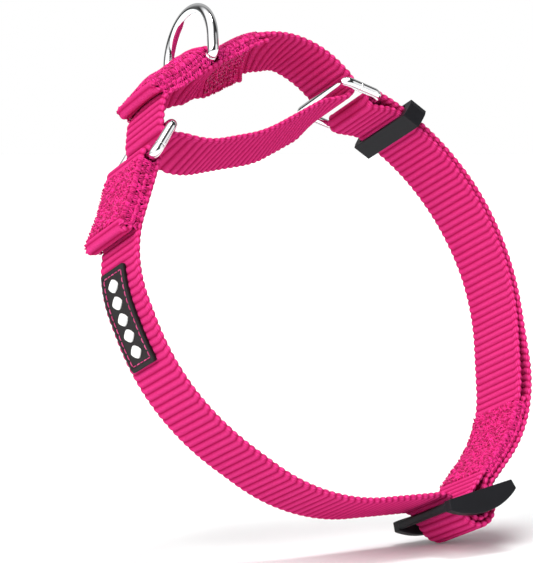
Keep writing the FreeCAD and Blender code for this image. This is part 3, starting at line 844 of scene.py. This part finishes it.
def moulding(name, mesh, matrix, sharp_angle, bevel, body, node):
    """A black plastic piece from its sharp-edged mesh in its own place, with its edges rounded."""
    bmesh.ops.recalc_face_normals(mesh, faces=mesh.faces)
    limit = math.radians(sharp_angle)
    sharp = [e for e in mesh.edges if len(e.link_faces) == 2 and e.calc_face_angle() > limit]
    bmesh.ops.bevel(
        mesh, geom=sharp, offset=bevel, segments=3, profile=0.6, affect="EDGES",
        clamp_overlap=True,
    )
    bmesh.ops.transform(mesh, matrix=Matrix.Scale(MM, 4) @ matrix, verts=mesh.verts)
    data = bpy.data.meshes.new(name)
    mesh.to_mesh(data)
    mesh.free()
    data.polygons.foreach_set("use_smooth", [True] * len(data.polygons))
    data.materials.append(plastic)
    piece = linked(name, data, body, [node])
    piece.modifiers.new("even_faces", "WEIGHTED_NORMAL").keep_sharp = True


def prisms(solids):
    """A mesh of prisms given as (outline, low, high), extruded along the local Y."""
    mesh = bmesh.new()
    for outline, low, high in solids:
        near = [mesh.verts.new((x, low, z)) for x, z in outline]
        far = [mesh.verts.new((x, high, z)) for x, z in outline]
        mesh.faces.new(near)
        mesh.faces.new(list(reversed(far)))
        for i in range(len(outline)):
            j = (i + 1) % len(outline)
            mesh.faces.new((near[j], near[i], far[i], far[j]))
    return mesh


def placement(origin, angle):
    """Local X along a heading in the XZ plane, local Z to its left."""
    turn = Matrix.Rotation(-math.radians(angle), 4, "Y")
    return Matrix.Translation((origin[0], 0, origin[1])) @ turn


def rounded_box(middle, width, height, corner, steps=5):
    outline = []
    for sx, sz, first in ((1, 1, 0), (-1, 1, 90), (-1, -1, 180), (1, -1, 270)):
        centre = (middle[0] + sx * (width / 2 - corner), middle[1] + sz * (height / 2 - corner))
        for step in range(steps + 1):
            outline.append(polar(centre, corner, first + 90 * step / steps))
    return outline


SLIDER_HALF_WIDTH = 16.5
SLIDER_HALF_WINDOW = 13.2
SLIDER_END_HEIGHT = 3.3
SLIDER_TIP = 0.7
SLIDER_BEVEL = 0.45
BAR_HALF_LENGTH = 13.6
BAR_CORNER = 0.9
BELLY_STEPS = 28
reach = SLIDER_HALF_LENGTH
sagitta = SLIDER_DEPTH - SLIDER_END_HEIGHT
belly_radius = (reach ** 2 + sagitta ** 2) / (2 * sagitta)
belly_centre = (0.0, -SLIDER_DEPTH + belly_radius)
spread = math.degrees(math.asin(reach / belly_radius))
lens = [(reach - SLIDER_TIP, 0.0), (-reach + SLIDER_TIP, 0.0)]
for step in range(BELLY_STEPS + 1):
    lens.append(polar(belly_centre, belly_radius, -90 - spread + 2 * spread * step / BELLY_STEPS))
slider_solids = [
    (lens, -SLIDER_HALF_WIDTH, -SLIDER_HALF_WINDOW),
    (lens, SLIDER_HALF_WINDOW, SLIDER_HALF_WIDTH),
]
for middle, size in (
    ((-END_BAR_OFFSET, -END_BAR_DROP), END_BAR),
    ((END_BAR_OFFSET, -END_BAR_DROP), END_BAR),
    ((0.0, -CENTRE_BAR_DROP), CENTRE_BAR),
):
    bar = rounded_box(middle, *size, BAR_CORNER)
    slider_solids.append((bar, -BAR_HALF_LENGTH, BAR_HALF_LENGTH))
moulding(
    "slider_moulding", prisms(slider_solids), placement(SLIDER, SLIDER_TILT), 25, SLIDER_BEVEL,
    "neck_strap", "slider")

KEEPER_ANGLE = 22.2
KEEPER_SIZE = (7.5, 33.0, 6.7)
KEEPER_WINDOW = (4.9, 26.0)
KEEPER_CHAMFER = (2.2, 0.9)
KEEPER_WINDOW_CORNER = 0.5
KEEPER_BEVEL = 0.22
keeper_middle = polar(ARC, ARC_RADIUS + PITCH / 2, KEEPER_ANGLE)


def cut_corners(x, y, cut_x, cut_y):
    """A rectangle of the given half sizes with its corners cut off."""
    return [
        (x - cut_x, -y), (x, -y + cut_y), (x, y - cut_y), (x - cut_x, y),
        (-x + cut_x, y), (-x, y - cut_y), (-x, -y + cut_y), (-x + cut_x, -y),
    ]


def keeper():
    """A flat tube round the doubled webbing, its long corners chamfered."""
    deep, wide, tall = KEEPER_SIZE
    outer = cut_corners(deep / 2, wide / 2, *KEEPER_CHAMFER)
    inner = cut_corners(
        KEEPER_WINDOW[0] / 2, KEEPER_WINDOW[1] / 2, KEEPER_WINDOW_CORNER, KEEPER_WINDOW_CORNER)
    mesh = bmesh.new()
    loops = []
    for outline in (outer, inner):
        for z in (-tall / 2, tall / 2):
            loops.append([mesh.verts.new((px, py, z)) for px, py in outline])
    out_low, out_high, in_low, in_high = loops
    for i in range(8):
        j = (i + 1) % 8
        mesh.faces.new((out_low[i], out_low[j], out_high[j], out_high[i]))
        mesh.faces.new((in_low[j], in_low[i], in_high[i], in_high[j]))
        mesh.faces.new((out_high[i], out_high[j], in_high[j], in_high[i]))
        mesh.faces.new((out_low[j], out_low[i], in_low[i], in_low[j]))
    return mesh


moulding(
    "keeper_moulding", keeper(), placement(keeper_middle, KEEPER_ANGLE), 20, KEEPER_BEVEL,
    "keeper", "keeper")


# ---------------------------------------------------------------- label

LABEL_FROM = to_stretch(neck_run, LEFT_FOLD) + 44.0
LABEL_LENGTH = 32.0
LABEL_WIDTH = 15.0
LABEL_THICK = 1.2
LABEL_SHIFT = 2.0
FIELD_DROP = 0.3
FIELD_AT = 1.1
FIELD_SLOPE = 0.35
RIM_ROUND = 0.25
RIM_ROUND_WIDTH = 0.3
LABEL_CORNER = 1.1
LABEL_GAP = 0.03
RIM_LINES = [0.0, 0.06, 0.16, 0.3, 0.9, 1.15, 1.3, 1.45]
RIM_TO_FIELD = 1.9
LOZENGES = 5
LOZENGE_HALF = (2.1, 2.9)
LOZENGE_SINK = 0.02
LOZENGE_BLUNT = 1.35
LOZENGE_RINGS = [(1.0, 0.0), (1.0, 0.42), (0.93, 0.56), (0.8, 0.6), (0.0, 0.6)]  # scale, rise
LABEL_SEAM_INSET = 1.75
LABEL_STITCH_PITCH = 2.2
LABEL_STITCH_SINK = 0.12
LABEL_STITCH_RISE = 0.22
LABEL_THREAD_RADIUS = 0.2


def label_lines(size):
    """Grid lines across a side of the label, close together at its rim."""
    middle = list(np.linspace(RIM_TO_FIELD, size - RIM_TO_FIELD, int(size / 0.8)))
    return np.array(RIM_LINES + middle + [size - r for r in reversed(RIM_LINES)])


def label_surface(along, across, height):
    """Points over the webbing's outer face; along and across run from the label's own corner."""
    y = across - LABEL_WIDTH / 2 + LABEL_SHIFT
    return on_run(neck_run, LABEL_FROM + along, y, -(HALF + height))


def label_plate():
    """A thin plate with a raised rim and rounded corners."""
    lines_u = label_lines(LABEL_LENGTH)
    lines_v = label_lines(LABEL_WIDTH)
    u, v = np.meshgrid(lines_u, lines_v, indexing="ij")
    edge = np.minimum(np.minimum(u, LABEL_LENGTH - u), np.minimum(v, LABEL_WIDTH - v))
    height = LABEL_THICK - RIM_ROUND * (1 - np.clip(edge / RIM_ROUND_WIDTH, 0, 1)) ** 2
    height -= FIELD_DROP * np.clip((edge - FIELD_AT) / FIELD_SLOPE, 0, 1)
    du = np.clip(LABEL_CORNER - np.minimum(u, LABEL_LENGTH - u), 0, None)
    dv = np.clip(LABEL_CORNER - np.minimum(v, LABEL_WIDTH - v), 0, None)
    far = np.maximum(du, dv)
    length = np.hypot(du, dv)
    pull = np.where(length > 1e-9, far / np.where(length > 1e-9, length, 1), 1.0)
    move_u = np.where(u < LABEL_LENGTH / 2, 1, -1) * du * (1 - pull)
    move_v = np.where(v < LABEL_WIDTH / 2, 1, -1) * dv * (1 - pull)
    u, v = u + move_u, v + move_v
    rows, columns = u.shape
    top = label_surface(u.reshape(-1), v.reshape(-1), height.reshape(-1))
    base = label_surface(u.reshape(-1), v.reshape(-1), 0 * height.reshape(-1) + LABEL_GAP)
    size = rows * columns
    faces = []
    for i in range(rows - 1):
        for j in range(columns - 1):
            a, b = i * columns + j, (i + 1) * columns + j
            faces.append((a, a + 1, b + 1, b))
            faces.append((size + a, size + b, size + b + 1, size + a + 1))
    border = list(range(columns)) + [i * columns + columns - 1 for i in range(1, rows)]
    border += [(rows - 1) * columns + j for j in range(columns - 2, -1, -1)]
    border += [i * columns for i in range(rows - 2, 0, -1)]
    for a, b in zip(border, border[1:] + border[:1]):
        faces.append((a, size + a, size + b, b))
    return np.concatenate([top, base]), faces


points, faces = label_plate()
new_piece("label_plate", points, faces, rubber, "neck_strap", ["label_patch"])


def lozenge(middle_u, long_half, wide_half):
    """A raised lozenge with soft corners on the label's field."""
    sides = 32
    foot = LABEL_THICK - FIELD_DROP - LOZENGE_SINK
    points, faces = [], []
    for scale, rise in LOZENGE_RINGS[:-1]:
        for step in range(sides):
            angle = 2 * math.pi * step / sides
            c, s = math.cos(angle), math.sin(angle)
            blunt = (abs(c) ** LOZENGE_BLUNT + abs(s) ** LOZENGE_BLUNT) ** (-1 / LOZENGE_BLUNT)
            points.append((middle_u + scale * long_half * blunt * c,
                           LABEL_WIDTH / 2 + scale * wide_half * blunt * s,
                           foot + rise))
    for ring in range(len(LOZENGE_RINGS) - 2):
        for step in range(sides):
            a, b = ring * sides + step, ring * sides + (step + 1) % sides
            faces.append((a, b, b + sides, a + sides))
    points.append((middle_u, LABEL_WIDTH / 2, foot + LOZENGE_RINGS[-1][1]))
    first = (len(LOZENGE_RINGS) - 2) * sides
    for step in range(sides):
        faces.append((first + step, first + (step + 1) % sides, len(points) - 1))
    flat = np.array(points)
    return label_surface(flat[:, 0], flat[:, 1], flat[:, 2]), faces


points, faces = joined([
    lozenge(LABEL_LENGTH * (n + 1) / (LOZENGES + 1), *LOZENGE_HALF) for n in range(LOZENGES)
])
new_piece(
    "label_marks", points, faces, white_rubber, "neck_strap", ["label_motif"])


def label_sewing():
    """A dashed line of thread in the groove just inside the label's rim."""
    near = LABEL_SEAM_INSET
    far_u, far_v = LABEL_LENGTH - near, LABEL_WIDTH - near
    corners = [(near, near), (far_u, near), (far_u, far_v), (near, far_v)]
    starts, ends = [], []
    for a, b in zip(corners, corners[1:] + corners[:1]):
        size = math.dist(a, b)
        count = round(size / LABEL_STITCH_PITCH)
        for n in range(count):
            low, high = (n + 0.12) / count, (n + 0.88) / count
            starts.append((a[0] + (b[0] - a[0]) * low, a[1] + (b[1] - a[1]) * low))
            ends.append((a[0] + (b[0] - a[0]) * high, a[1] + (b[1] - a[1]) * high))
    starts, ends = np.array(starts), np.array(ends)
    share = np.linspace(0, 1, 5)
    u = starts[:, 0:1] + (ends[:, 0:1] - starts[:, 0:1]) * share
    v = starts[:, 1:2] + (ends[:, 1:2] - starts[:, 1:2]) * share
    bulge = np.sin(share * math.pi)[None, :] ** 0.6
    foot = LABEL_THICK - FIELD_DROP - LABEL_STITCH_SINK
    rise = foot + LABEL_STITCH_RISE * bulge + 0 * u
    paths = label_surface(u.reshape(-1), v.reshape(-1), rise.reshape(-1))
    paths = paths.reshape(u.shape + (3,))
    rows = walk(neck_run, LABEL_FROM + u.reshape(-1))
    normal = -np.stack([rows[:, 2], 0 * rows[:, 2], rows[:, 3]], -1).reshape(u.shape + (3,))
    return tubes(paths, normal, LABEL_THREAD_RADIUS)


points, faces = label_sewing()
new_piece(
    "label_sewing", points, faces, label_yarn, "neck_strap", ["label_stitching"])


# ---------------------------------------------------------------- camera, floor and lights

CAMERA_AZIMUTH = math.radians(-37.18)
CAMERA_HEIGHT = math.radians(3.0)
CAMERA_ROLL = math.radians(325.49)
CAMERA_AWAY = 0.7432
CAMERA_SENSOR = 36.0
CAMERA_LENS = 144.68419
CAMERA_SHIFT = (-0.0648313, 0.0145648)

back = Vector((
    math.sin(CAMERA_AZIMUTH) * math.cos(CAMERA_HEIGHT),
    -math.cos(CAMERA_AZIMUTH) * math.cos(CAMERA_HEIGHT),
    math.sin(CAMERA_HEIGHT),
))
level = Vector((math.cos(CAMERA_AZIMUTH), math.sin(CAMERA_AZIMUTH), 0))
upright = back.cross(level)
view_right = math.cos(CAMERA_ROLL) * level + math.sin(CAMERA_ROLL) * upright
view_up = -math.sin(CAMERA_ROLL) * level + math.cos(CAMERA_ROLL) * upright


def aimed(location, right, up, towards):
    """A matrix whose axes are the given right, up and backward directions."""
    turn = Matrix((right, up, towards)).transposed().to_4x4()
    return Matrix.Translation(location) @ turn


camera_data = bpy.data.cameras.new("camera")
camera_data.sensor_width = CAMERA_SENSOR
camera_data.lens = CAMERA_LENS
camera_data.shift_x, camera_data.shift_y = CAMERA_SHIFT
camera = bpy.data.objects.new("camera", camera_data)
bpy.context.scene.collection.objects.link(camera)
camera.matrix_world = aimed(back * CAMERA_AWAY, view_right, view_up, back)
bpy.context.scene.camera = camera

# the collar leans in the picture, so its floor is level there and tilted in its own frame
FLOOR_TIP = 0.07
FLOOR_GAP = 0.0005
FLOOR_REACH = 12.0
floor_up = (view_up + FLOOR_TIP * back).normalized()
lowest = min(
    floor_up.dot(o.matrix_world @ v.co)
    for o in bpy.context.scene.objects if o.name in ("neck_webbing", "slider_moulding")
    for v in o.data.vertices
)
lowest -= FLOOR_GAP
floor_back = view_right.cross(floor_up).normalized()
floor_mesh = bpy.data.meshes.new("floor")
floor_mesh.from_pydata(
    [tuple(floor_up * lowest + view_right * x * FLOOR_REACH + floor_back * y * FLOOR_REACH)
     for x, y in ((-1, -1), (1, -1), (1, 1), (-1, 1))],
    [], [(0, 1, 2, 3)],
)
if floor_mesh.polygons[0].normal.dot(floor_up) < 0:
    floor_mesh.flip_normals()
floor_material, floor_tree, floor_shader = new_material("pale_floor", Roughness=0.9)
floor_place = add_node(floor_tree, "ShaderNodeTexCoord").outputs["Object"]
floor_grain = noise(floor_tree, floor_place, 30.0, 2.0)
floor_colour = mixed(floor_tree, floor_grain, rgba((0.89, 0.93, 0.925)), rgba((0.93, 0.97, 0.965)))
floor_tree.links.new(floor_colour, floor_shader.inputs["Base Color"])
clear = add_node(floor_tree, "ShaderNodeBsdfTransparent").outputs[0]
underside = add_node(floor_tree, "ShaderNodeNewGeometry").outputs["Backfacing"]
one_sided = add_node(
    floor_tree, "ShaderNodeMixShader", {0: underside, 1: floor_shader.outputs[0], 2: clear},
).outputs[0]
floor_tree.links.new(one_sided, floor_tree.nodes["Material Output"].inputs["Surface"])
floor_mesh.materials.append(floor_material)
floor = bpy.data.objects.new("floor", floor_mesh)
bpy.context.scene.collection.objects.link(floor)


def sun(name, side, rise, front, strength, spread, colour):
    """A soft sun given in the picture's own directions."""
    data = bpy.data.lights.new(name, "SUN")
    data.energy = strength
    data.angle = math.radians(spread)
    data.color = colour
    direction = (view_right * side + view_up * rise + back * front).normalized()
    light = bpy.data.objects.new(name, data)
    bpy.context.scene.collection.objects.link(light)
    light.rotation_mode = "QUATERNION"
    light.rotation_quaternion = direction.to_track_quat("Z", "Y")


# each sun's direction in the picture (right, up, towards the camera), strength, spread, colour
sun("key_light", -0.55, 0.62, 0.88, 3.0, 50.0, (1.0, 0.99, 0.98))
sun("top_light", 0.05, 1.0, 0.10, 1.5, 22.0, (1.0, 1.0, 1.0))

AMBIENT = 0.42
ROOM_GLOSS = 0.04
BACKDROP = 1.0
world = bpy.data.worlds.new("studio")
bpy.context.scene.world = world
world.use_nodes = True
sky = world.node_tree
backdrop = sky.nodes["Background"]
path = add_node(sky, "ShaderNodeLightPath")
heading = add_node(sky, "ShaderNodeTexCoord").outputs["Generated"]
mirrored = ROOM_GLOSS
# bright parts of a dim room that gloss mirrors: picture directions, half width, soft rim and
# brightness
for side, rise, front, half_width, soft, bright in (
    (-0.50, 0.75, 0.45, 34.0, 24.0, 1.25),
    (0.95, 0.20, 0.25, 20.0, 8.0, 1.0),
    (0.10, 0.15, -1.0, 45.0, 20.0, 0.45),
):
    towards = tuple((view_right * side + view_up * rise + back * front).normalized())
    near = add_node(
        sky, "ShaderNodeVectorMath", {0: heading, 1: towards}, operation="DOT_PRODUCT",
    ).outputs[1]
    outer = math.cos(math.radians(half_width + soft))
    inner = math.cos(math.radians(half_width))
    patch = add_node(
        sky, "ShaderNodeMapRange", {0: near, 1: outer, 2: inner, 3: 0.0, 4: bright},
        interpolation_type="SMOOTHSTEP",
    ).outputs[0]
    mirrored = math_node(sky, "ADD", patch, mirrored)
for_gloss = add_node(
    sky, "ShaderNodeMix", {0: path.outputs["Is Glossy Ray"], 2: AMBIENT, 3: mirrored},
    data_type="FLOAT",
).outputs[0]
for_camera = add_node(
    sky, "ShaderNodeMix", {0: path.outputs["Is Camera Ray"], 2: for_gloss, 3: BACKDROP},
    data_type="FLOAT",
).outputs[0]
sky.links.new(for_camera, backdrop.inputs["Strength"])
backdrop.inputs["Color"].default_value = (1.0, 1.0, 1.0, 1.0)

bpy.context.scene.view_settings.view_transform = "Standard"
